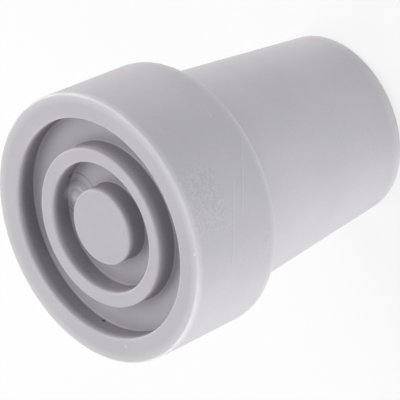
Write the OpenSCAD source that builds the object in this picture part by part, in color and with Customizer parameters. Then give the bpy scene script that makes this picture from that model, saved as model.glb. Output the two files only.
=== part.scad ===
// Rubber tip for a walking cane: one moulding, turned about its own axis, with a pip at its gate.
// It stands on the mouth of its sleeve with the tread up. The origin is the centre of the mouth
// and +Z runs from the mouth to the tread. Lengths are in millimetres.

/* [Foot] */
// Diameter of the foot at the tread
foot_d = 38; // [36:0.5:46]
// Diameter of the foot at its shoulder
shoulder_d = 36.9; // [35.5:0.1:44]
// Height of the foot, from the shoulder to the rim of the tread
foot_h = 15.5; // [9:0.1:22]
// Radius of the edge between the foot's side and the tread
tread_edge_r = 0.4; // [0.2:0.1:1.4]
// Radius of the edge round the shoulder
shoulder_edge_r = 0.9; // [0.2:0.1:1]

/* [Tread] */
// Width of the rim round the tread
rim_w = 3.5; // [2.6:0.1:4.4]
// Outer diameter of the ring between the two grooves
ring_d = 22.4; // [20:0.2:24]
// Width of the ring
ring_w = 2; // [1.4:0.1:2.6]
// Diameter of the boss in the middle
boss_d = 10.6; // [7:0.2:12]
// How far the tread is dished: the fall from the rim's inner edge to the middle of the boss
tread_dish = 0.65; // [0:0.05:1]
// Depth of both grooves below the dished face
groove_depth = 3.1; // [2:0.1:4.5]
// Slope of the groove walls, in degrees from upright
groove_draft = 1; // [0:0.5:4]
// Radius of the upper edges of the grooves
groove_edge_r = 0.3; // [0.1:0.05:0.5]
// Radius of the fillets round the groove floors
groove_fillet_r = 0.3; // [0.1:0.05:0.5]

/* [Gate] */
// Diameter of the pip that the gate leaves, where it meets the floor of the inner groove
pip_d = 2.3; // [1.6:0.1:2.6]
// Height of the pip above the groove floor
pip_h = 0.5; // [0.3:0.1:0.7]
// Radius of the pip's upper edge
pip_edge_r = 0.3; // [0.1:0.05:0.35]
// How far outside the middle of the groove the pip is
pip_shift = 0.4; // [0:0.1:0.6]
// Turn of the pip round the axis, in degrees from +X
pip_turn = 48; // [0:1:359]

/* [Sleeve] */
// Height of the whole tip
tip_h = 45.4; // [40:0.2:55]
// Diameter of the sleeve where it meets the foot
sleeve_root_d = 31.3; // [27:0.1:31.8]
// Diameter of the sleeve at its mouth
sleeve_mouth_d = 24.6; // [24.2:0.2:29]
// Radius of the fillet between the sleeve and the shoulder
root_fillet_r = 1; // [0.2:0.1:1.2]
// Radius of the outer edge of the mouth
lip_r = 1.5; // [0.2:0.1:1.5]

/* [Socket] */
// Diameter of the socket that takes the end of the cane
socket_d = 19; // [16:0.5:19.5]
// Depth of the socket, from the mouth to its blind end
socket_depth = 33; // [22:1:36]
// Radius of the rounded lead-in at the mouth of the socket
lead_in_r = 0.6; // [0.2:0.1:0.8]
// Radius of the fillet round the blind end
socket_fillet_r = 1; // [0.2:0.1:2]

/* [Hidden] */

// Straight steps in each rounded corner of the outline
arc_steps = 6;
// Facets round the axis
$fn = 180;

// Height of the shoulder
shoulder_z = tip_h - foot_h;

// Radii at the top of the tread
rim_r = foot_d / 2 - rim_w;
ring_out_r = ring_d / 2;
ring_in_r = ring_out_r - ring_w;
boss_r = boss_d / 2;

// How far a groove's wall has come in at its foot
draft_run = groove_depth * tan(groove_draft);

// Distance of the pip from the axis
pip_r = (ring_in_r + boss_r) / 2 + pip_shift;
// How deep the pip is rooted in the foot
pip_root = 0.5;
// How fast the pip narrows: how far its side comes in for its height
pip_slope = 0.9;

// Heights of the dished face and of the groove floors at a distance from the axis
function face_z(r) = tip_h - tread_dish * (1 - pow(r / rim_r, 2));
function floor_z(r) = face_z(r) - groove_depth;

function unit(v) = v / norm(v);

// Points of the arc that rounds the corner at p, between its neighbours before and after it
function corner_arc(before, p, after, radius) =
    let (
        to_before = unit(before - p),
        to_after = unit(after - p),
        half_angle = acos(to_before * to_after) / 2,
        tangent_run = radius / tan(half_angle),
        centre = p + unit(to_before + to_after) * radius / sin(half_angle),
        first = p + to_before * tangent_run - centre,
        last = p + to_after * tangent_run - centre,
        start = atan2(first.y, first.x),
        turn = atan2(cross(first, last), first * last)
    )
    [
        for (step = [0 : arc_steps])
            let (angle = start + turn * step / arc_steps)
            centre + radius * [cos(angle), sin(angle)]
    ];

// Closed outline through corners given as [distance from the axis, height, corner radius]
function rounded_outline(corners) =
    let (count = len(corners), points = [for (c = corners) [c.x, c.y]])
    [
        for (i = [0 : count - 1])
            each corners[i].z > 0
                ? corner_arc(
                    points[(i + count - 1) % count],
                    points[i],
                    points[(i + 1) % count],
                    corners[i].z
                )
                : [points[i]]
    ];

// The socket, from the axis at its blind end out to its mouth
socket_corners = [
    [0, socket_depth, 0],
    [socket_d / 2, socket_depth, socket_fillet_r],
    [socket_d / 2, 0, lead_in_r]
];

// The outside, from the mouth up to the edge of the tread
side_corners = [
    [sleeve_mouth_d / 2, 0, lip_r],
    [sleeve_root_d / 2, shoulder_z, root_fillet_r],
    [shoulder_d / 2, shoulder_z, shoulder_edge_r],
    [foot_d / 2, tip_h, tread_edge_r]
];

// The dished tread, from the rim in to the boss, with its two grooves
tread_corners = [
    [rim_r, tip_h, groove_edge_r],
    [rim_r - draft_run, floor_z(rim_r), groove_fillet_r],
    [ring_out_r + draft_run, floor_z(ring_out_r), groove_fillet_r],
    [ring_out_r, face_z(ring_out_r), groove_edge_r],
    [ring_in_r, face_z(ring_in_r), groove_edge_r],
    [ring_in_r - draft_run, floor_z(ring_in_r), groove_fillet_r],
    [boss_r + draft_run, floor_z(boss_r), groove_fillet_r],
    [boss_r, face_z(boss_r), groove_edge_r],
    [0, face_z(0), 0]
];

// The pip, from its root up to its rounded top
pip_corners = [
    [0, -pip_root, 0],
    [pip_d / 2 + pip_root * pip_slope, -pip_root, 0],
    [pip_d / 2 - pip_h * pip_slope, pip_h, pip_edge_r],
    [0, pip_h, 0]
];

module moulding()
{
    rotate_extrude()
        polygon(rounded_outline(concat(socket_corners, side_corners, tread_corners)));
}

module gate_pip()
{
    rotate(pip_turn)
        translate([pip_r, 0, floor_z(pip_r)])
            rotate_extrude()
                polygon(rounded_outline(pip_corners));
}

module cane_tip()
{
    color([0.55, 0.54, 0.57])
        union() {
            moulding();
            gate_pip();
        }
}

cane_tip();
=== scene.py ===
import math

import bmesh
import bpy
from bpy.props import FloatProperty, FloatVectorProperty, IntProperty, PointerProperty
from mathutils import Matrix, Vector


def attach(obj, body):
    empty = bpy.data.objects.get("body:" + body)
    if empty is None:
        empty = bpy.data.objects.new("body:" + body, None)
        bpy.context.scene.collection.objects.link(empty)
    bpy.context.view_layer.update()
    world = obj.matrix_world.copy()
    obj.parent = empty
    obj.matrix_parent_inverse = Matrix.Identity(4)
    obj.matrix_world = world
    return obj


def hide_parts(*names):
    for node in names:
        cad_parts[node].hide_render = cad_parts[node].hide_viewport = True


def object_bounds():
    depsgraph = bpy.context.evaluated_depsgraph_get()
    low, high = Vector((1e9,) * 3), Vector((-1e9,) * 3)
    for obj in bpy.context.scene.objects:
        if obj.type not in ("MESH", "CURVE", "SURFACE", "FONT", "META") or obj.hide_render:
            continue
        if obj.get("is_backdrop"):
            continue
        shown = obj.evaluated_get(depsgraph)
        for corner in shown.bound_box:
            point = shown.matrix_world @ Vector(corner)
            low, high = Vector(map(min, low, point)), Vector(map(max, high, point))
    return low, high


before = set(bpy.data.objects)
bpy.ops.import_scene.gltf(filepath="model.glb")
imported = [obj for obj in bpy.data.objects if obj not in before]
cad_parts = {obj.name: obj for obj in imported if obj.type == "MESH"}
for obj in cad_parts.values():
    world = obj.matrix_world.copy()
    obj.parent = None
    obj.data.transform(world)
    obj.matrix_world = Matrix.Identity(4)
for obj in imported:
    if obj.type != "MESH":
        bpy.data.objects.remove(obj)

bl_info = {
    "name": "Rubber Cane Tip",
    "version": (1, 0, 0),
    "blender": (4, 5, 0),
    "location": "3D View > Sidebar > Cane Tip",
    "description": "Moulded rubber tip for a walking cane, with its rubber finish and its stage",
    "category": "Add Mesh",
}

# The box of the solid model, which the visual model keeps to
SOLID_LOW, SOLID_HIGH = (corner.copy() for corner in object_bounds())
SOLID_H = SOLID_HIGH.z - SOLID_LOW.z

MM = 0.001

# Points closer than this are one
MERGE = 0.001 * MM
# Short straight piece left beside each rounded corner of the outline
CORNER_LEAD = 0.08 * MM
# Edges flatter than this are smooth
SMOOTH_ANGLE = math.radians(35.0)
# How deep the gate pip is rooted, its facets, and how far its side comes in for its height
PIP_ROOT = 0.5 * MM
PIP_FACETS = 48
PIP_SLOPE = 0.9


def length(name, description, millimetres):
    """A length that the sidebar shows in the scene's units."""
    return FloatProperty(
        name=name,
        description=description,
        default=millimetres * MM,
        min=0.0,
        subtype="DISTANCE",
        unit="LENGTH",
        precision=5,
    )


class CaneTipShape(bpy.types.PropertyGroup):
    """Sizes of the moulding."""

    tip_h: length("Height", "Height of the whole tip, from its mouth to its tread", 45.4)
    foot_d: length("Foot Diameter", "Diameter of the foot at the tread", 38.0)
    foot_h: length("Foot Height", "Height of the foot, from the shoulder to the tread", 15.5)
    shoulder_d: length("Shoulder Diameter", "Diameter of the foot at its shoulder", 36.9)
    tread_edge_r: length("Tread Edge", "Radius of the edge between side and tread", 0.4)
    shoulder_edge_r: length("Shoulder Edge", "Radius of the edge round the shoulder", 0.9)
    rim_w: length("Rim Width", "Width of the rim round the tread", 3.5)
    ring_d: length("Ring Diameter", "Outer diameter of the ring between the grooves", 22.4)
    ring_w: length("Ring Width", "Width of the ring between the grooves", 2.0)
    boss_d: length("Boss Diameter", "Diameter of the boss in the middle", 10.6)
    groove_depth: length("Groove Depth", "Depth of the grooves below the faces beside them", 3.1)
    tread_dish: length("Tread Dish", "How far the middle of the tread lies below the rim", 0.65)
    groove_run: length("Groove Draft", "How far a groove wall leans in at its foot", 0.06)
    groove_edge_r: length("Groove Edge", "Radius of the upper edges of the grooves", 0.3)
    groove_fillet_r: length("Groove Fillet", "Radius of the fillets in the grooves", 0.3)
    sleeve_root_d: length("Sleeve Root", "Diameter of the sleeve where it meets the foot", 31.3)
    sleeve_mouth_d: length("Sleeve Mouth", "Diameter of the sleeve at its mouth", 24.6)
    root_fillet_r: length("Root Fillet", "Radius between the sleeve and the shoulder", 1.0)
    lip_r: length("Lip", "Radius of the outer edge of the mouth", 1.5)
    pip_d: length("Pip Diameter", "Diameter of the gate pip where it meets the groove", 2.3)
    pip_h: length("Pip Height", "How far the gate pip stands up from the groove", 0.5)
    pip_edge_r: length("Pip Edge", "Radius of the upper edge of the pip", 0.3)
    pip_shift: length("Pip Shift", "How far outside the middle of the groove the pip is", 0.4)
    pip_turn: FloatProperty(
        name="Pip Turn",
        description="Turn of the gate pip round the axis",
        default=math.radians(48.0),
        subtype="ANGLE",
        unit="ROTATION",
    )
    socket_d: length("Socket Diameter", "Diameter of the socket for the cane", 19.0)
    socket_depth: length("Socket Depth", "Depth of the socket", 33.0)
    lead_in_r: length("Lead-in", "Radius of the inner edge of the mouth", 0.6)
    socket_fillet_r: length("Socket Fillet", "Radius round the socket's blind end", 1.0)
    facets: IntProperty(name="Facets", description="Facets round the axis", default=256, min=32)
    arc_steps: IntProperty(name="Edge Steps", description="Steps in each edge", default=8, min=2)


class CaneTipRubber(bpy.types.PropertyGroup):
    """Colour and surface of the rubber."""

    grey: FloatVectorProperty(
        name="Grey",
        description="Colour of the rubber",
        default=(0.513, 0.492, 0.529),
        size=3,
        min=0.0,
        max=1.0,
        subtype="COLOR",
    )
    roughness: FloatProperty(
        name="Roughness",
        description="How matt the rubber is",
        default=0.6,
        min=0.0,
        max=1.0,
        subtype="FACTOR",
    )
    bloom: FloatProperty(
        name="Bloom",
        description="Strength of the powdery sheen that shows along the outline",
        default=0.18,
        min=0.0,
        max=1.0,
        subtype="FACTOR",
    )


class CaneTipStage(bpy.types.PropertyGroup):
    """Floor, lamps and camera."""

    azimuth: FloatProperty(
        name="Azimuth",
        description="Turn of the camera round the tip",
        default=math.radians(0.075),
        subtype="ANGLE",
        unit="ROTATION",
    )
    elevation: FloatProperty(
        name="Elevation",
        description="Height of the camera above the horizon",
        default=math.radians(38.598),
        subtype="ANGLE",
        unit="ROTATION",
    )
    roll: FloatProperty(
        name="Roll",
        description="Turn of the camera about its own line of sight",
        default=math.radians(-114.181),
        subtype="ANGLE",
        unit="ROTATION",
    )
    distance: length("Distance", "From the camera to the point that it looks at", 2016.85)
    target: FloatVectorProperty(
        name="Target",
        description="Point that the camera looks at",
        default=(-2.063 * MM, 2.331 * MM, 25.634 * MM),
        size=3,
        subtype="TRANSLATION",
        unit="LENGTH",
    )
    lens: FloatProperty(name="Lens", description="Focal length in millimetres", default=1356.93)


def corner_run(before, corner, after, radius):
    """How far from a corner its rounding starts."""
    to_before = (Vector(before) - Vector(corner)).normalized()
    to_after = (Vector(after) - Vector(corner)).normalized()
    return radius / math.tan(to_before.angle(to_after) / 2)


def face_z(shape, r):
    """Height of the dished face of the tread at a distance from the axis."""
    rim_r = shape.foot_d / 2 - shape.rim_w
    return shape.tip_h - shape.tread_dish * (1 - (r / rim_r) ** 2)


def floor_z(shape, r):
    """Height of the groove floors at a distance from the axis."""
    return face_z(shape, r) - shape.groove_depth


def tip_corners(shape):
    """Corners of the tip's outline, as distance from the axis, height and corner radius."""
    s = shape
    shoulder_z = s.tip_h - s.foot_h
    rim_r = s.foot_d / 2 - s.rim_w
    ring_out_r = s.ring_d / 2
    ring_in_r = ring_out_r - s.ring_w
    boss_r = s.boss_d / 2
    run, edge, fillet = s.groove_run, s.groove_edge_r, s.groove_fillet_r
    return [
        (0.0, s.socket_depth, 0.0),
        (s.socket_d / 2, s.socket_depth, s.socket_fillet_r),
        (s.socket_d / 2, 0.0, s.lead_in_r),
        (s.sleeve_mouth_d / 2, 0.0, s.lip_r),
        (s.sleeve_root_d / 2, shoulder_z, s.root_fillet_r),
        (s.shoulder_d / 2, shoulder_z, s.shoulder_edge_r),
        (s.foot_d / 2, s.tip_h, s.tread_edge_r),
        (rim_r, s.tip_h, edge),
        (rim_r - run, floor_z(s, rim_r), fillet),
        (ring_out_r + run, floor_z(s, ring_out_r), fillet),
        (ring_out_r, face_z(s, ring_out_r), edge),
        (ring_in_r, face_z(s, ring_in_r), edge),
        (ring_in_r - run, floor_z(s, ring_in_r), fillet),
        (boss_r + run, floor_z(s, boss_r), fillet),
        (boss_r, face_z(s, boss_r), edge),
        (0.0, face_z(s, 0.0), 0.0),
    ]


def select_verts(mesh, wanted):
    """Selects the vertices of the mesh in edit mode that the test accepts."""
    bm = bmesh.from_edit_mesh(mesh)
    for vert in bm.verts:
        vert.select = wanted(vert.co)
    bm.select_flush_mode()
    bmesh.update_edit_mesh(mesh)


def pip_place(shape):
    """Middle of the gate pip, on the floor of the inner groove."""
    ring_in_r = shape.ring_d / 2 - shape.ring_w
    r = (ring_in_r + shape.boss_d / 2) / 2 + shape.pip_shift
    across, along = r * math.cos(shape.pip_turn), r * math.sin(shape.pip_turn)
    return Vector((across, along, floor_z(shape, r)))


def gate_pip(context, shape):
    """The stub that the gate leaves, rounded at its top and rooted in the groove's floor."""
    bpy.ops.object.select_all(action="DESELECT")
    base = pip_place(shape)
    tall = shape.pip_h + PIP_ROOT
    bpy.ops.mesh.primitive_cone_add(
        vertices=PIP_FACETS,
        radius1=shape.pip_d / 2 + PIP_ROOT * PIP_SLOPE,
        radius2=shape.pip_d / 2 - shape.pip_h * PIP_SLOPE,
        depth=tall,
        location=base + Vector((0.0, 0.0, tall / 2 - PIP_ROOT)),
    )
    pip = context.active_object
    bpy.ops.object.transform_apply(location=True, rotation=True, scale=True)
    bpy.ops.object.mode_set(mode="EDIT")
    top = base.z + shape.pip_h
    select_verts(pip.data, lambda co: abs(co.z - top) < MERGE)
    bpy.ops.mesh.bevel(offset=shape.pip_edge_r, segments=shape.arc_steps, affect="EDGES")
    bpy.ops.object.mode_set(mode="OBJECT")
    return pip


def join_pip(context, tip, pip):
    """Makes the pip one with the tip."""
    bpy.ops.object.select_all(action="DESELECT")
    tip.select_set(True)
    context.view_layer.objects.active = tip
    union = tip.modifiers.new("pip", "BOOLEAN")
    union.operation = "UNION"
    union.solver = "EXACT"
    union.object = pip
    bpy.ops.object.modifier_apply(modifier=union.name)
    bpy.data.objects.remove(pip, do_unlink=True)


def start_outline(context, place):
    """Adds the tip as a single point, in edit mode."""
    bpy.ops.object.select_all(action="DESELECT")
    bpy.ops.mesh.primitive_plane_add(size=MM, location=(0.0, 0.0, 0.0))
    tip = context.active_object
    tip.name = tip.data.name = "rubber_tip"
    bpy.ops.object.mode_set(mode="EDIT")
    bpy.ops.mesh.select_all(action="SELECT")
    bpy.ops.mesh.merge(type="CENTER")
    bpy.ops.transform.translate(value=place)
    return tip


def draw_outline(corners, points):
    """Extrudes the first point through all the corners, with a stop on both sides of each arc."""
    here = points[0]
    for i in range(1, len(points)):
        along = (points[i] - points[i - 1]).normalized()
        stops = []
        for j, sign in ((i - 1, 1), (i, -1)):
            radius = corners[j][2]
            if radius > 0.0:
                run = corner_run(points[j - 1], points[j], points[j + 1], radius)
                stops.append(points[j] + along * sign * (run + CORNER_LEAD))
        stops.append(points[i])
        for stop in stops:
            bpy.ops.mesh.extrude_vertices_move(TRANSFORM_OT_translate={"value": stop - here})
            here = stop


def round_corners(mesh, corners, points, steps):
    """Bevels each corner of the outline to its radius."""
    for i in range(1, len(points) - 1):
        run = corner_run(points[i - 1], points[i], points[i + 1], corners[i][2])
        select_verts(mesh, lambda co: (co - points[i]).length < MERGE)
        bpy.ops.mesh.bevel(
            offset_type="OFFSET",
            offset=run,
            segments=steps,
            profile=0.5,
            affect="VERTICES",
            clamp_overlap=False,
        )


def turn_outline(facets):
    """Spins the outline round the axis and closes it."""
    bpy.ops.mesh.select_all(action="SELECT")
    bpy.ops.mesh.spin(
        steps=facets,
        angle=2 * math.pi,
        center=(0.0, 0.0, 0.0),
        axis=(0.0, 0.0, 1.0),
    )
    bpy.ops.mesh.select_all(action="SELECT")
    bpy.ops.mesh.remove_doubles(threshold=MERGE)
    bpy.ops.mesh.normals_make_consistent(inside=False)
    bpy.ops.object.mode_set(mode="OBJECT")
    bpy.ops.object.transform_apply(location=True, rotation=True, scale=True)


class CANETIP_OT_moulding(bpy.types.Operator):
    """Draw the outline of the tip and turn it about the axis"""

    bl_idname = "mesh.cane_tip_moulding"
    bl_label = "Cane Tip"
    bl_options = {"REGISTER", "UNDO"}

    def execute(self, context):
        shape = context.scene.cane_tip_shape
        corners = tip_corners(shape)
        points = [Vector((r, 0.0, z)) for r, z, _ in corners]
        tip = start_outline(context, points[0])
        draw_outline(corners, points)
        round_corners(tip.data, corners, points, shape.arc_steps)
        turn_outline(shape.facets)
        join_pip(context, tip, gate_pip(context, shape))
        bpy.ops.object.shade_smooth_by_angle(angle=SMOOTH_ANGLE)
        tip.data.materials.clear()
        tip.data.materials.append(rubber(context.scene.cane_tip_rubber, shape))
        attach(tip, "root")
        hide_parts("cane_tip")
        return {"FINISHED"}


class NodeSheet:
    """Lays out the nodes of one material, with lengths in millimetres."""

    def __init__(self, material):
        material.use_nodes = True
        self.tree = material.node_tree
        self.shader = self.tree.nodes["Principled BSDF"]

    def feed(self, socket, value):
        """Links a socket to another node's output, or sets it to a number or colour."""
        if isinstance(value, bpy.types.NodeSocket):
            self.tree.links.new(value, socket)
        else:
            socket.default_value = value

    def math(self, operation, first, second=0.0, third=0.0):
        """Result of a math node."""
        node = self.tree.nodes.new("ShaderNodeMath")
        node.operation = operation
        for socket, value in zip(node.inputs, (first, second, third)):
            self.feed(socket, value)
        return node.outputs["Value"]

    def ramp(self, value, low, high, bottom=0.0, top=1.0):
        """Smooth step from bottom to top as the value goes from low to high."""
        node = self.tree.nodes.new("ShaderNodeMapRange")
        node.interpolation_type = "SMOOTHSTEP"
        self.feed(node.inputs["Value"], value)
        limits = {"From Min": low, "From Max": high, "To Min": bottom, "To Max": top}
        for name, limit in limits.items():
            node.inputs[name].default_value = limit
        return node.outputs["Result"]

    def slope(self, value, low, high, bottom=0.0, top=1.0):
        """Straight line from bottom to top as the value goes from low to high."""
        result = self.ramp(value, low, high, bottom, top)
        result.node.interpolation_type = "LINEAR"
        return result

    def band(self, value, middle, half, soft, top=1.0):
        """The top value inside a band round the middle, falling to nothing over a soft edge."""
        away = self.math("ABSOLUTE", self.math("SUBTRACT", value, middle))
        return self.ramp(away, half, half + soft, top, 0.0)

    def product(self, *parts):
        """All the parts multiplied."""
        result = parts[0]
        for part in parts[1:]:
            result = self.math("MULTIPLY", result, part)
        return result

    def total(self, *parts):
        """All the parts added."""
        result = parts[0]
        for part in parts[1:]:
            result = self.math("ADD", result, part)
        return result

    def between(self, value, rise, fall):
        """One between the rise and the fall of a value, each given as its start and its end."""
        return self.product(self.ramp(value, *rise), self.ramp(value, *fall, 1.0, 0.0))

    def from_point(self, place, point):
        """Distance from a point."""
        node = self.tree.nodes.new("ShaderNodeVectorMath")
        node.operation = "DISTANCE"
        self.tree.links.new(place, node.inputs[0])
        node.inputs[1].default_value = point
        return node.outputs["Value"]

    def from_line(self, first, second, first_at, second_at):
        """Distance in the plane of two directions, as from a ring or from an upright line."""
        out = self.math("POWER", self.math("SUBTRACT", first, first_at), 2.0)
        up = self.math("POWER", self.math("SUBTRACT", second, second_at), 2.0)
        return self.math("SQRT", self.math("ADD", out, up))

    def noise(self, place, scale, detail):
        """Noise with its scale in spots to the millimetre."""
        node = self.tree.nodes.new("ShaderNodeTexNoise")
        self.feed(node.inputs["Vector"], place)
        node.inputs["Scale"].default_value = scale
        node.inputs["Detail"].default_value = detail
        return node.outputs["Fac"]

    def tint(self, colour, amount, other):
        """Mixes another colour into one."""
        node = self.tree.nodes.new("ShaderNodeMix")
        node.data_type = "RGBA"
        factor, under, over = (node.inputs[i] for i in (0, 6, 7))
        self.feed(factor, amount)
        self.feed(under, colour)
        self.feed(over, other)
        return node.outputs[2]

    def places(self):
        """Object position in millimetres, with its three parts, radius and turn in degrees."""
        source = self.tree.nodes.new("ShaderNodeTexCoord")
        scale = self.tree.nodes.new("ShaderNodeVectorMath")
        scale.operation = "SCALE"
        scale.inputs["Scale"].default_value = 1 / MM
        self.tree.links.new(source.outputs["Object"], scale.inputs[0])
        place = scale.outputs["Vector"]
        split = self.tree.nodes.new("ShaderNodeSeparateXYZ")
        self.tree.links.new(place, split.inputs[0])
        x, y, z = split.outputs
        radius = self.from_line(x, y, 0.0, 0.0)
        turn = self.math("DEGREES", self.math("ARCTAN2", y, x))
        return place, x, y, z, radius, turn


# The finish. Lengths are in millimetres and turns in degrees. A pair of values is where a fade
# starts and where it ends.

# Noise: spots to the millimetre, and detail
CLOUD = (0.09, 2.0)
MOTTLE = (0.7, 4.0)
GRAIN = (3.0, 2.0)
SWELL = (0.22, 1.0)

# Zones: how level a surface is before it counts as a floor, how deep a groove's floor lies,
# how far down and out the grooves go, where the foot's side starts, and where the tops end
LEVEL = (0.25, 0.9)
FLOOR_DEPTH = (2.2, 2.6)
GROOVE_END = (4.2, 4.6)
RIM_EDGE = (0.05, 0.15)
FOOT_SIDE_R = (18.0, 18.2)
FOOT_SIDE_Z = (31.0, 31.4)
OUTSIDE_R = (12.0, 12.2)
NEARLY_LEVEL = (0.3, 0.8)
TOP_DEPTH = (0.2, 0.5)

# Painted shade on the groove walls: radius from and to, darkness at the foot, and how soon the
# darkness comes
WALL_SHADES = (
    (0.0, 7.2, 0.44, 1.2),
    (7.2, 10.2, 0.475, 1.25),
    (10.2, 13.5, 0.405, 0.78),
    (13.5, 20.0, 0.535, 1.1),
)
WALL_FADE = (0.0, 1.55)

# Groove floors: painted shade beside the walls and how far it reaches, and the painted light that
# makes both floors paler
FLOOR_SHADE = 0.08
FLOOR_SHADE_RUN = 1.1
FLOOR_EDGE = 0.01
FLOOR_STEP_R = (9.5, 10.5)
FLOOR_PAINTED_LIGHT = (0.02, 0.07)

# Painted shade on the foot's side and the sleeve's side, and how much darker the tops are from the
# boss outwards
FOOT_SIDE_SHADE = 0.1
SLEEVE_SIDE_SHADE = 0.042
TOP_STEP_R = (6.0, 8.0)
TOP_DARKENING = (0.03, 0.01)

# Thin rings round the gate: radius and darkness, then the half width and softness of their
# lines, and a pale band between them as radius, half width, softness and paleness
GATE_MIDDLE = (5.2, 5.05, 41.85)
GATE_RINGS = ((3.15, 0.34), (2.0, 0.26))
GATE_LINE = (0.03, 0.1)
GATE_BAND = (2.7, 0.08, 0.25, 0.09)

# The torn top of the gate pip, and how far its rubber goes round it
PIP_PALE = 0.75
PIP_PALE_RUN = 0.9
PIP_CLEAR = (0.02, 0.2)

# Flow lines: bend, turn of the crest, height of the crest, first and last turn, darkness
FLOW_LINES = (
    (0.00153, -147.4, 38.53, -111.0, -78.0, 0.08),
    (0.00192, -133.9, 39.03, -131.0, -92.0, 0.08),
)
# Their dark and pale sides: distance from the line, half width and softness
FLOW_DARK = (0.0, 0.02, 0.12)
FLOW_PALE = (-0.25, 0.04, 0.18)
FLOW_FADE = 5.0

# Painted highlights along the outer edges, at the mouth partly worn rubber: which, how far in and
# how far down, reach and paleness
EDGE_HIGHLIGHTS_AND_WEAR = (
    ("tread", 0.25, 0.0, 1.25, 0.35),
    ("tread", 0.15, 0.05, 0.5, 0.65),
    ("shoulder", 0.0, 0.0, 1.1, 0.24),
    ("shoulder", 0.0, 0.0, 0.6, 0.4),
    ("mouth", 0.0, 0.0, 2.4, 0.34),
)
# Reach and paleness of the painted highlights along the groove edges
GROOVE_EDGE_HIGHLIGHTS = (0.45, 0.15)
# How much the paleness of the edges varies with the mottle
EDGE_PALE_FADE = (0.2, 0.8)
EDGE_PALE_SPREAD = (0.85, 1.15)

# Painted highlight, a pale line at the foot of the ring and the boss: distance, half width,
# softness, paleness
FILLET_HIGHLIGHT = (0.2, 0.03, 0.08, 0.16)
FILLET_HIGHLIGHT_DEPTH = (2.6, 2.9)

# Single marks: place, radius and strength
DARK_MARKS = (
    ((-11.5, 10.3, 42.7), 0.35, 0.4),
    ((7.98, 4.48, 42.35), 0.5, 0.22),
    ((5.6, -17.6, 45.4), 0.22, 0.12),
    ((-10.3, -15.4, 32.2), 0.8, 0.06),
)
PALE_MARKS = (
    ((-15.8, 4.85, 45.4), 0.22, 0.5),
    ((-8.3, -16.65, 45.4), 0.2, 0.6),
    ((7.6, -16.95, 33.6), 0.22, 0.2),
    ((9.45, -16.0, 33.9), 0.18, 0.1),
)

# Pebbled patch on the foot's side: where it starts and ends in turn and in height, its bump,
# the paleness of its specks, and how much darker it is
PATCH_TURN = ((-115.0, -106.0), (-88.0, -78.0))
PATCH_HEIGHT = ((37.5, 39.5), (44.4, 45.0))
PATCH_BUMP = 0.055
PATCH_PALE = 0.11
PATCH_DULL = 0.044

# Specks of the grain all over
SPECK_FADE = (0.42, 0.58)
GRAIN_PALE = 0.03

# Colours mixed into the grey, and how far the grey itself varies
GREY_SPREAD = 0.025
CLOUD_FADE = (0.3, 0.7)
MOTTLE_FADE = (0.35, 0.65)
MOTTLE_AMOUNT = 0.1
MOTTLE_TINT = (0.58, 0.56, 0.59, 1.0)
SIDE_AMOUNT = 0.03
SIDE_TINT = (0.2, 0.6, 0.5, 1.0)
DARK_TINT = (0.03, 0.03, 0.03, 1.0)
PALE_TINT = (0.85, 0.83, 0.86, 1.0)

# Height in millimetres of the grain, the slow swell and the dark marks, and the shader's finish
GRAIN_BUMP = 0.009
SWELL_BUMP = 0.03
MARK_BUMP = -0.05
ROUGHNESS_FADE = (0.2, 0.8)
ROUGHNESS_SPREAD = 0.05
GLOSS = 0.35
BLOOM_ROUGHNESS = 0.35
BLOOM_TINT = (1.0, 0.6, 0.7, 1.0)


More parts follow.
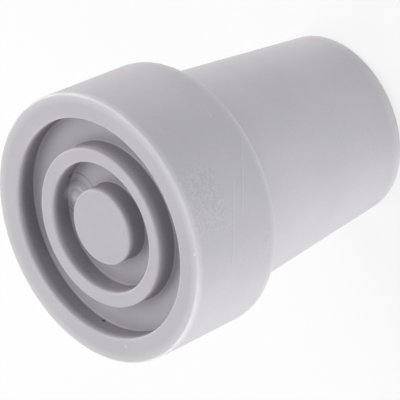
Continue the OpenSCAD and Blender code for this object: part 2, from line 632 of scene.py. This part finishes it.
class RubberSheet(NodeSheet):
    """Lays out the nodes of the moulded rubber, from the tip's own sizes."""

    def __init__(self, material, shape):
        super().__init__(material)
        self.place, self.x, self.y, self.z, self.radius, self.turn = self.places()
        self.mottle = self.noise(self.place, *MOTTLE)
        self.grain = self.noise(self.place, *GRAIN)
        self.measure(shape)
        self.mark_zones()

    def measure(self, shape):
        """Takes the sizes that the finish follows, in millimetres."""
        self.rim_r = (shape.foot_d / 2 - shape.rim_w) / MM
        self.ring_out_r = shape.ring_d / 2 / MM
        self.ring_in_r = self.ring_out_r - shape.ring_w / MM
        self.boss_r = shape.boss_d / 2 / MM
        self.tip_h = shape.tip_h / MM
        self.fall = shape.tread_dish / MM
        self.edges = {
            "tread": (shape.foot_d / 2 / MM, self.tip_h),
            "shoulder": (shape.shoulder_d / 2 / MM, (shape.tip_h - shape.foot_h) / MM),
            "mouth": (shape.sleeve_mouth_d / 2 / MM, 0.0),
        }
        self.pip = pip_place(shape) / MM
        self.pip_r = shape.pip_d / 2 / MM

    def mark_zones(self):
        """Finds the grooves, their walls and floors, the tops, and the sides of foot and sleeve."""
        bend = self.fall / self.rim_r ** 2
        squared = self.math("POWER", self.radius, 2.0)
        face = self.math("MULTIPLY_ADD", squared, bend, self.tip_h - self.fall)
        self.depth = self.math("SUBTRACT", face, self.z)
        facing = self.tree.nodes.new("ShaderNodeNewGeometry")
        normal = self.tree.nodes.new("ShaderNodeSeparateXYZ")
        self.tree.links.new(facing.outputs["Normal"], normal.inputs[0])
        level = self.math("ABSOLUTE", normal.outputs["Z"])

        from_pip = self.from_line(self.x, self.y, self.pip.x, self.pip.y)
        clear, clear_end = (self.pip_r + run for run in PIP_CLEAR)
        rim_edge, rim_edge_end = (self.rim_r + run for run in RIM_EDGE)
        self.in_groove = self.product(
            self.ramp(self.radius, rim_edge, rim_edge_end, 1.0, 0.0),
            self.ramp(self.depth, *GROOVE_END, 1.0, 0.0),
            self.ramp(from_pip, clear, clear_end),
        )
        self.wall = self.product(self.ramp(level, *LEVEL, 1.0, 0.0), self.in_groove)
        self.floor = self.product(
            self.ramp(level, *LEVEL), self.ramp(self.depth, *FLOOR_DEPTH), self.in_groove
        )
        self.top = self.product(
            self.ramp(level, *NEARLY_LEVEL), self.ramp(self.depth, *TOP_DEPTH, 1.0, 0.0)
        )
        self.on_foot = self.product(
            self.ramp(self.radius, *FOOT_SIDE_R), self.ramp(self.z, *FOOT_SIDE_Z)
        )
        self.side = self.product(
            self.ramp(level, *NEARLY_LEVEL, 1.0, 0.0),
            self.ramp(self.radius, *OUTSIDE_R),
            self.math("SUBTRACT", 1.0, self.in_groove),
        )
        self.patch = self.product(
            self.between(self.turn, *PATCH_TURN),
            self.between(self.z, *PATCH_HEIGHT),
            self.on_foot,
        )

    def painted_groove_shade(self):
        """Painted shade: groove walls are painted darker towards their foot, and the floors darker
        beside the walls.
        """
        deepest = steepness = 0.0
        for first_r, last_r, shade, steep in WALL_SHADES:
            this_wall = self.product(
                self.math("GREATER_THAN", self.radius, first_r),
                self.math("LESS_THAN", self.radius, last_r),
            )
            deepest = self.math("MULTIPLY_ADD", this_wall, shade, deepest)
            steepness = self.math("MULTIPLY_ADD", this_wall, steep, steepness)
        down = self.ramp(self.math("MULTIPLY", self.depth, steepness), *WALL_FADE)
        beside_walls = 0.0
        for low, high in ((self.boss_r, self.ring_in_r), (self.ring_out_r, self.rim_r)):
            middle, half = (low + high) / 2, (high - low) / 2
            off_middle = self.math("ABSOLUTE", self.math("SUBTRACT", self.radius, middle))
            beside = self.ramp(off_middle, half - FLOOR_SHADE_RUN, half, 0.0, FLOOR_SHADE)
            within = self.math("LESS_THAN", off_middle, half + FLOOR_EDGE)
            beside_walls = self.math("MULTIPLY_ADD", beside, within, beside_walls)
        on_walls = self.product(self.wall, down, deepest)
        return self.total(on_walls, self.product(beside_walls, self.floor))

    def painted_side_shade_and_darkening(self):
        """Painted shade: the sides are painted a little darker than the tread. The tops inside it
        are a little darker too, and so is the pebbled patch.
        """
        sides = self.math("MULTIPLY_ADD", self.on_foot, FOOT_SIDE_SHADE - SLEEVE_SIDE_SHADE, SLEEVE_SIDE_SHADE)
        tops = self.ramp(self.radius, *TOP_STEP_R, *TOP_DARKENING)
        darkened = self.total(self.product(self.side, sides), self.product(self.top, tops))
        return self.math("MULTIPLY_ADD", self.patch, PATCH_DULL, darkened)

    def gate_marks(self):
        """Dark rings round the gate, and a pale band and the torn pip, as dark and pale."""
        from_gate = self.from_point(self.place, GATE_MIDDLE)
        rings = [self.band(from_gate, r, *GATE_LINE, dark) for r, dark in GATE_RINGS]
        band = self.product(self.band(from_gate, *GATE_BAND), self.floor)
        from_pip = self.from_point(self.place, tuple(self.pip))
        torn = self.ramp(from_pip, self.pip_r, self.pip_r + PIP_PALE_RUN, PIP_PALE, 0.0)
        return self.product(self.total(*rings), self.floor), self.total(torn, band)

    def flow_marks(self):
        """Flow lines on the side of the foot, where the rubber met in the mould, dark and pale."""
        dark_lines = []
        pale_lines = []
        for bend, middle, crest, first, last, dark in FLOW_LINES:
            off = self.math("POWER", self.math("SUBTRACT", self.turn, middle), 2.0)
            path = self.math("MULTIPLY_ADD", off, -bend, crest)
            away = self.math("SUBTRACT", self.z, path)
            along = self.between(self.turn, (first, first + FLOW_FADE), (last - FLOW_FADE, last))
            dark_lines.append(self.product(self.band(away, *FLOW_DARK, dark), along))
            pale_lines.append(self.product(self.band(away, *FLOW_PALE, dark), along))
        dark = self.product(self.total(*dark_lines), self.on_foot)
        return dark, self.product(self.total(*pale_lines), self.on_foot)

    def painted_edge_highlights_and_wear(self):
        """Painted highlights: the edges are paler, where light would catch them; at the mouth the
        paleness is partly worn rubber.
        """
        edges = []
        for name, inward, down, reach, amount in EDGE_HIGHLIGHTS_AND_WEAR:
            edge_r, edge_z = self.edges[name]
            edges.append((edge_r - inward, edge_z - down, reach, amount))
        for edge_r in (self.rim_r, self.ring_out_r, self.ring_in_r, self.boss_r):
            edge_z = self.tip_h - self.fall * (1 - (edge_r / self.rim_r) ** 2)
            edges.append((edge_r, edge_z, *GROOVE_EDGE_HIGHLIGHTS))
        edge_pale = 0.0
        for edge_r, edge_z, reach, amount in edges:
            near = self.from_line(self.radius, self.z, edge_r, edge_z)
            edge_pale = self.math("MAXIMUM", edge_pale, self.slope(near, 0.0, reach, amount, 0.0))
        return self.product(edge_pale, self.ramp(self.mottle, *EDGE_PALE_FADE, *EDGE_PALE_SPREAD))

    def painted_fillet_highlights(self):
        """Painted highlight: a thin pale line where the outer walls of the ring and the boss meet
        the floor.
        """
        out, half, soft, amount = FILLET_HIGHLIGHT
        lines = [
            self.band(self.radius, wall_r + out, half, soft, amount)
            for wall_r in (self.ring_out_r, self.boss_r)
        ]
        deep = self.ramp(self.depth, *FILLET_HIGHLIGHT_DEPTH)
        return self.product(self.total(*lines), self.in_groove, deep)

    def spots(self, marks):
        """Round marks with a soft edge."""
        return self.total(*(
            self.ramp(self.from_point(self.place, place), size / 2, size, amount, 0.0)
            for place, size, amount in marks
        ))

    def specks(self):
        """Pale specks of the grain, stronger on the pebbled patch."""
        amount = self.math("MULTIPLY_ADD", self.patch, PATCH_PALE, GRAIN_PALE)
        return self.product(self.ramp(self.grain, *SPECK_FADE), amount)

    def painted_light_on_floors(self):
        """Painted light: the groove floors are painted paler, the outer groove's floor more than
        the inner one's.
        """
        return self.product(self.floor, self.ramp(self.radius, *FLOOR_STEP_R, *FLOOR_PAINTED_LIGHT))


def rubber(finish, shape):
    """Matt grey moulded rubber."""
    material = bpy.data.materials.new("grey_rubber_moulded")
    sheet = RubberSheet(material, shape)
    dark_gate, pale_gate = sheet.gate_marks()
    dark_flow, pale_flow = sheet.flow_marks()
    marks = sheet.total(dark_gate, dark_flow, sheet.spots(DARK_MARKS))
    # Dark: painted shade in the grooves and on the sides, darker tops, and the real marks
    dark = sheet.total(sheet.painted_groove_shade(), marks, sheet.painted_side_shade_and_darkening())
    # Pale: painted highlights on the edges and fillets, painted light on the groove floors, and the
    # real marks
    pale = sheet.total(
        sheet.painted_edge_highlights_and_wear(),
        pale_flow,
        sheet.painted_fillet_highlights(),
        sheet.spots(PALE_MARKS),
        pale_gate,
        sheet.specks(),
        sheet.painted_light_on_floors(),
    )

    light_grey = tuple(min(1.0, part * (1 + GREY_SPREAD)) for part in finish.grey) + (1.0,)
    deep_grey = tuple(part * (1 - GREY_SPREAD) for part in finish.grey) + (1.0,)
    cloud = sheet.ramp(sheet.noise(sheet.place, *CLOUD), *CLOUD_FADE)
    mottle = sheet.ramp(sheet.mottle, *MOTTLE_FADE, 0.0, MOTTLE_AMOUNT)
    colour = sheet.tint(deep_grey, cloud, light_grey)
    colour = sheet.tint(colour, mottle, MOTTLE_TINT)
    colour = sheet.tint(colour, sheet.product(sheet.side, SIDE_AMOUNT), SIDE_TINT)
    colour = sheet.tint(colour, dark, DARK_TINT)
    colour = sheet.tint(colour, pale, PALE_TINT)

    pebbles = sheet.math("MULTIPLY_ADD", sheet.patch, PATCH_BUMP, GRAIN_BUMP)
    grain = sheet.product(sheet.grain, pebbles)
    swell = sheet.product(sheet.noise(sheet.place, *SWELL), SWELL_BUMP)
    height = sheet.math("MULTIPLY_ADD", marks, MARK_BUMP, sheet.total(grain, swell))
    bump = sheet.tree.nodes.new("ShaderNodeBump")
    bump.inputs["Strength"].default_value = 1.0
    bump.inputs["Distance"].default_value = MM
    sheet.feed(bump.inputs["Height"], height)

    rough = finish.roughness
    spread = (rough - ROUGHNESS_SPREAD, rough + ROUGHNESS_SPREAD)
    shader = sheet.shader.inputs
    sheet.feed(shader["Base Color"], colour)
    sheet.feed(shader["Normal"], bump.outputs["Normal"])
    sheet.feed(shader["Roughness"], sheet.ramp(sheet.mottle, *ROUGHNESS_FADE, *spread))
    shader["Specular IOR Level"].default_value = GLOSS
    shader["Sheen Weight"].default_value = finish.bloom
    shader["Sheen Roughness"].default_value = BLOOM_ROUGHNESS
    shader["Sheen Tint"].default_value = BLOOM_TINT
    return material


# Soft round lamps: name, azimuth and elevation in degrees, and strength
LAMPS = (
    ("left_lamp", -90, 6, 0.45),
    ("front_lamp", -45, 6, 1.81),
    ("corner_lamp", -112, 6, 1.62),
    ("side_lamp", 112, 6, 1.06),
    ("slant_lamp", 112, 25, 0.82),
    ("right_lamp", 90, 25, 0.44),
    ("high_lamp", 90, 66, 0.47),
    ("far_lamp", -180, 45, 0.80),
)
LAMP_DISTANCE = 0.6
LAMP_SIZE = 0.3
# Strength of the light from all round
ROOM_LIGHT = 0.421
WHITE = (1.0, 1.0, 1.0, 1.0)

# The floor: its side, how far it lies below the tip, its paper, and how much shadow it shows
FLOOR_SIZE = 6.0
FLOOR_GAP = 0.02 * MM
PAPER = (0.9, 0.9, 0.9, 1.0)
PAPER_ROUGHNESS = 0.9
PAPER_GLOSS = 0.1
FLOOR_SHADOW = 0.25

# The camera: width of its sensor in millimetres, and the nearest and farthest it sees
SENSOR_WIDTH = 36.0
CLIP = (0.1, 6.0)


class CANETIP_OT_stage(bpy.types.Operator):
    """Lay the floor, hang the lamps and set up the camera"""

    bl_idname = "scene.cane_tip_stage"
    bl_label = "Stage"
    bl_options = {"REGISTER", "UNDO"}

    def execute(self, context):
        stage = context.scene.cane_tip_stage
        bpy.ops.object.select_all(action="DESELECT")
        bpy.ops.mesh.primitive_plane_add(size=FLOOR_SIZE, location=(0.0, 0.0, -FLOOR_GAP))
        floor = context.active_object
        floor.name = floor.data.name = "floor"
        bpy.ops.object.transform_apply(location=True, rotation=True, scale=True)
        floor.data.materials.append(pale_floor())
        floor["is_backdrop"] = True
        context.scene.world = studio()
        for name, azimuth, elevation, watts in LAMPS:
            hang_lamp(context, name, math.radians(azimuth), math.radians(elevation), watts)
        add_camera(context, stage)
        context.scene.view_settings.view_transform = "Standard"
        return {"FINISHED"}


def direction(azimuth, elevation):
    """Unit vector towards a place round the tip: azimuth 0 is towards -Y, and 90 degrees +X."""
    level = math.cos(elevation)
    return Vector((math.sin(azimuth) * level, -math.cos(azimuth) * level, math.sin(elevation)))


def hang_lamp(context, name, azimuth, elevation, watts):
    """Adds a soft lamp that points at the middle of the tip."""
    back = direction(azimuth, elevation)
    centre = Vector((0.0, 0.0, SOLID_H / 2))
    bpy.ops.object.light_add(type="AREA", location=centre + back * LAMP_DISTANCE)
    lamp = context.active_object
    lamp.name = lamp.data.name = name
    lamp.rotation_mode = "QUATERNION"
    lamp.rotation_quaternion = (-back).to_track_quat("-Z", "Y")
    lamp.data.shape = "DISK"
    lamp.data.size = LAMP_SIZE
    lamp.data.energy = watts
    lamp.visible_camera = False


def add_camera(context, stage):
    """Adds the camera of the main view."""
    back = direction(stage.azimuth, stage.elevation)
    right = Vector((math.cos(stage.azimuth), math.sin(stage.azimuth), 0.0))
    up = back.cross(right)
    turn = Matrix((right, up, back)).transposed() @ Matrix.Rotation(stage.roll, 3, "Z")
    bpy.ops.object.camera_add(location=Vector(stage.target) + back * stage.distance)
    camera = context.active_object
    camera.name = camera.data.name = "camera"
    camera.rotation_euler = turn.to_euler()
    camera.data.sensor_fit = "HORIZONTAL"
    camera.data.sensor_width = SENSOR_WIDTH
    camera.data.lens = stage.lens
    camera.data.clip_start, camera.data.clip_end = CLIP
    context.scene.camera = camera


def seen_directly(tree):
    """One for what the camera sees directly, in a reflection or through glass."""
    rays = tree.nodes.new("ShaderNodeLightPath")
    seen = rays.outputs["Is Camera Ray"]
    for other in ("Is Glossy Ray", "Is Transmission Ray"):
        both = tree.nodes.new("ShaderNodeMath")
        both.operation = "MAXIMUM"
        tree.links.new(seen, both.inputs[0])
        tree.links.new(rays.outputs[other], both.inputs[1])
        seen = both.outputs["Value"]
    return seen


def studio():
    """Even soft light from all round, in front of a white backdrop."""
    world = bpy.data.worlds.new("studio")
    world.use_nodes = True
    tree = world.node_tree
    light = tree.nodes["Background"]
    light.inputs["Color"].default_value = WHITE
    light.inputs["Strength"].default_value = ROOM_LIGHT
    backdrop = tree.nodes.new("ShaderNodeBackground")
    backdrop.inputs["Color"].default_value = WHITE
    backdrop.inputs["Strength"].default_value = 1.0
    mix = tree.nodes.new("ShaderNodeMixShader")
    tree.links.new(seen_directly(tree), mix.inputs["Fac"])
    tree.links.new(light.outputs["Background"], mix.inputs[1])
    tree.links.new(backdrop.outputs["Background"], mix.inputs[2])
    tree.links.new(mix.outputs["Shader"], tree.nodes["World Output"].inputs["Surface"])
    return world


def pale_floor():
    """Plain white paper, which shows the camera a light shadow on white."""
    material = bpy.data.materials.new("pale_floor")
    material.use_nodes = True
    tree = material.node_tree
    paper = tree.nodes["Principled BSDF"]
    paper.inputs["Base Color"].default_value = PAPER
    paper.inputs["Roughness"].default_value = PAPER_ROUGHNESS
    paper.inputs["Specular IOR Level"].default_value = PAPER_GLOSS
    white = tree.nodes.new("ShaderNodeEmission")
    white.inputs["Strength"].default_value = 1.0
    part = tree.nodes.new("ShaderNodeMath")
    part.operation = "MULTIPLY"
    part.inputs[1].default_value = 1.0 - FLOOR_SHADOW
    mix = tree.nodes.new("ShaderNodeMixShader")
    tree.links.new(seen_directly(tree), part.inputs[0])
    tree.links.new(part.outputs["Value"], mix.inputs["Fac"])
    tree.links.new(paper.outputs["BSDF"], mix.inputs[1])
    tree.links.new(white.outputs["Emission"], mix.inputs[2])
    tree.links.new(mix.outputs["Shader"], tree.nodes["Material Output"].inputs["Surface"])
    return material


class CANETIP_PT_panel(bpy.types.Panel):
    """Sidebar panel of the cane tip"""

    bl_idname = "CANETIP_PT_panel"
    bl_label = "Rubber Cane Tip"
    bl_space_type = "VIEW_3D"
    bl_region_type = "UI"
    bl_category = "Cane Tip"

    def draw(self, context):
        layout = self.layout
        scene = context.scene
        layout.operator(CANETIP_OT_moulding.bl_idname)
        layout.operator(CANETIP_OT_stage.bl_idname)
        for group in (scene.cane_tip_shape, scene.cane_tip_rubber, scene.cane_tip_stage):
            box = layout.box()
            for name in group.__annotations__:
                box.prop(group, name)


CLASSES = (
    CaneTipShape,
    CaneTipRubber,
    CaneTipStage,
    CANETIP_OT_moulding,
    CANETIP_OT_stage,
    CANETIP_PT_panel,
)


def register():
    """Adds the classes and their settings to Blender."""
    for cls in CLASSES:
        bpy.utils.register_class(cls)
    bpy.types.Scene.cane_tip_shape = PointerProperty(type=CaneTipShape)
    bpy.types.Scene.cane_tip_rubber = PointerProperty(type=CaneTipRubber)
    bpy.types.Scene.cane_tip_stage = PointerProperty(type=CaneTipStage)


def unregister():
    """Takes the classes and their settings out again."""
    del bpy.types.Scene.cane_tip_stage
    del bpy.types.Scene.cane_tip_rubber
    del bpy.types.Scene.cane_tip_shape
    for cls in reversed(CLASSES):
        bpy.utils.unregister_class(cls)


def main():
    """Makes the tip and its stage."""
    register()
    bpy.ops.mesh.cane_tip_moulding()
    bpy.ops.scene.cane_tip_stage()


if __name__ == "__main__":
    main()
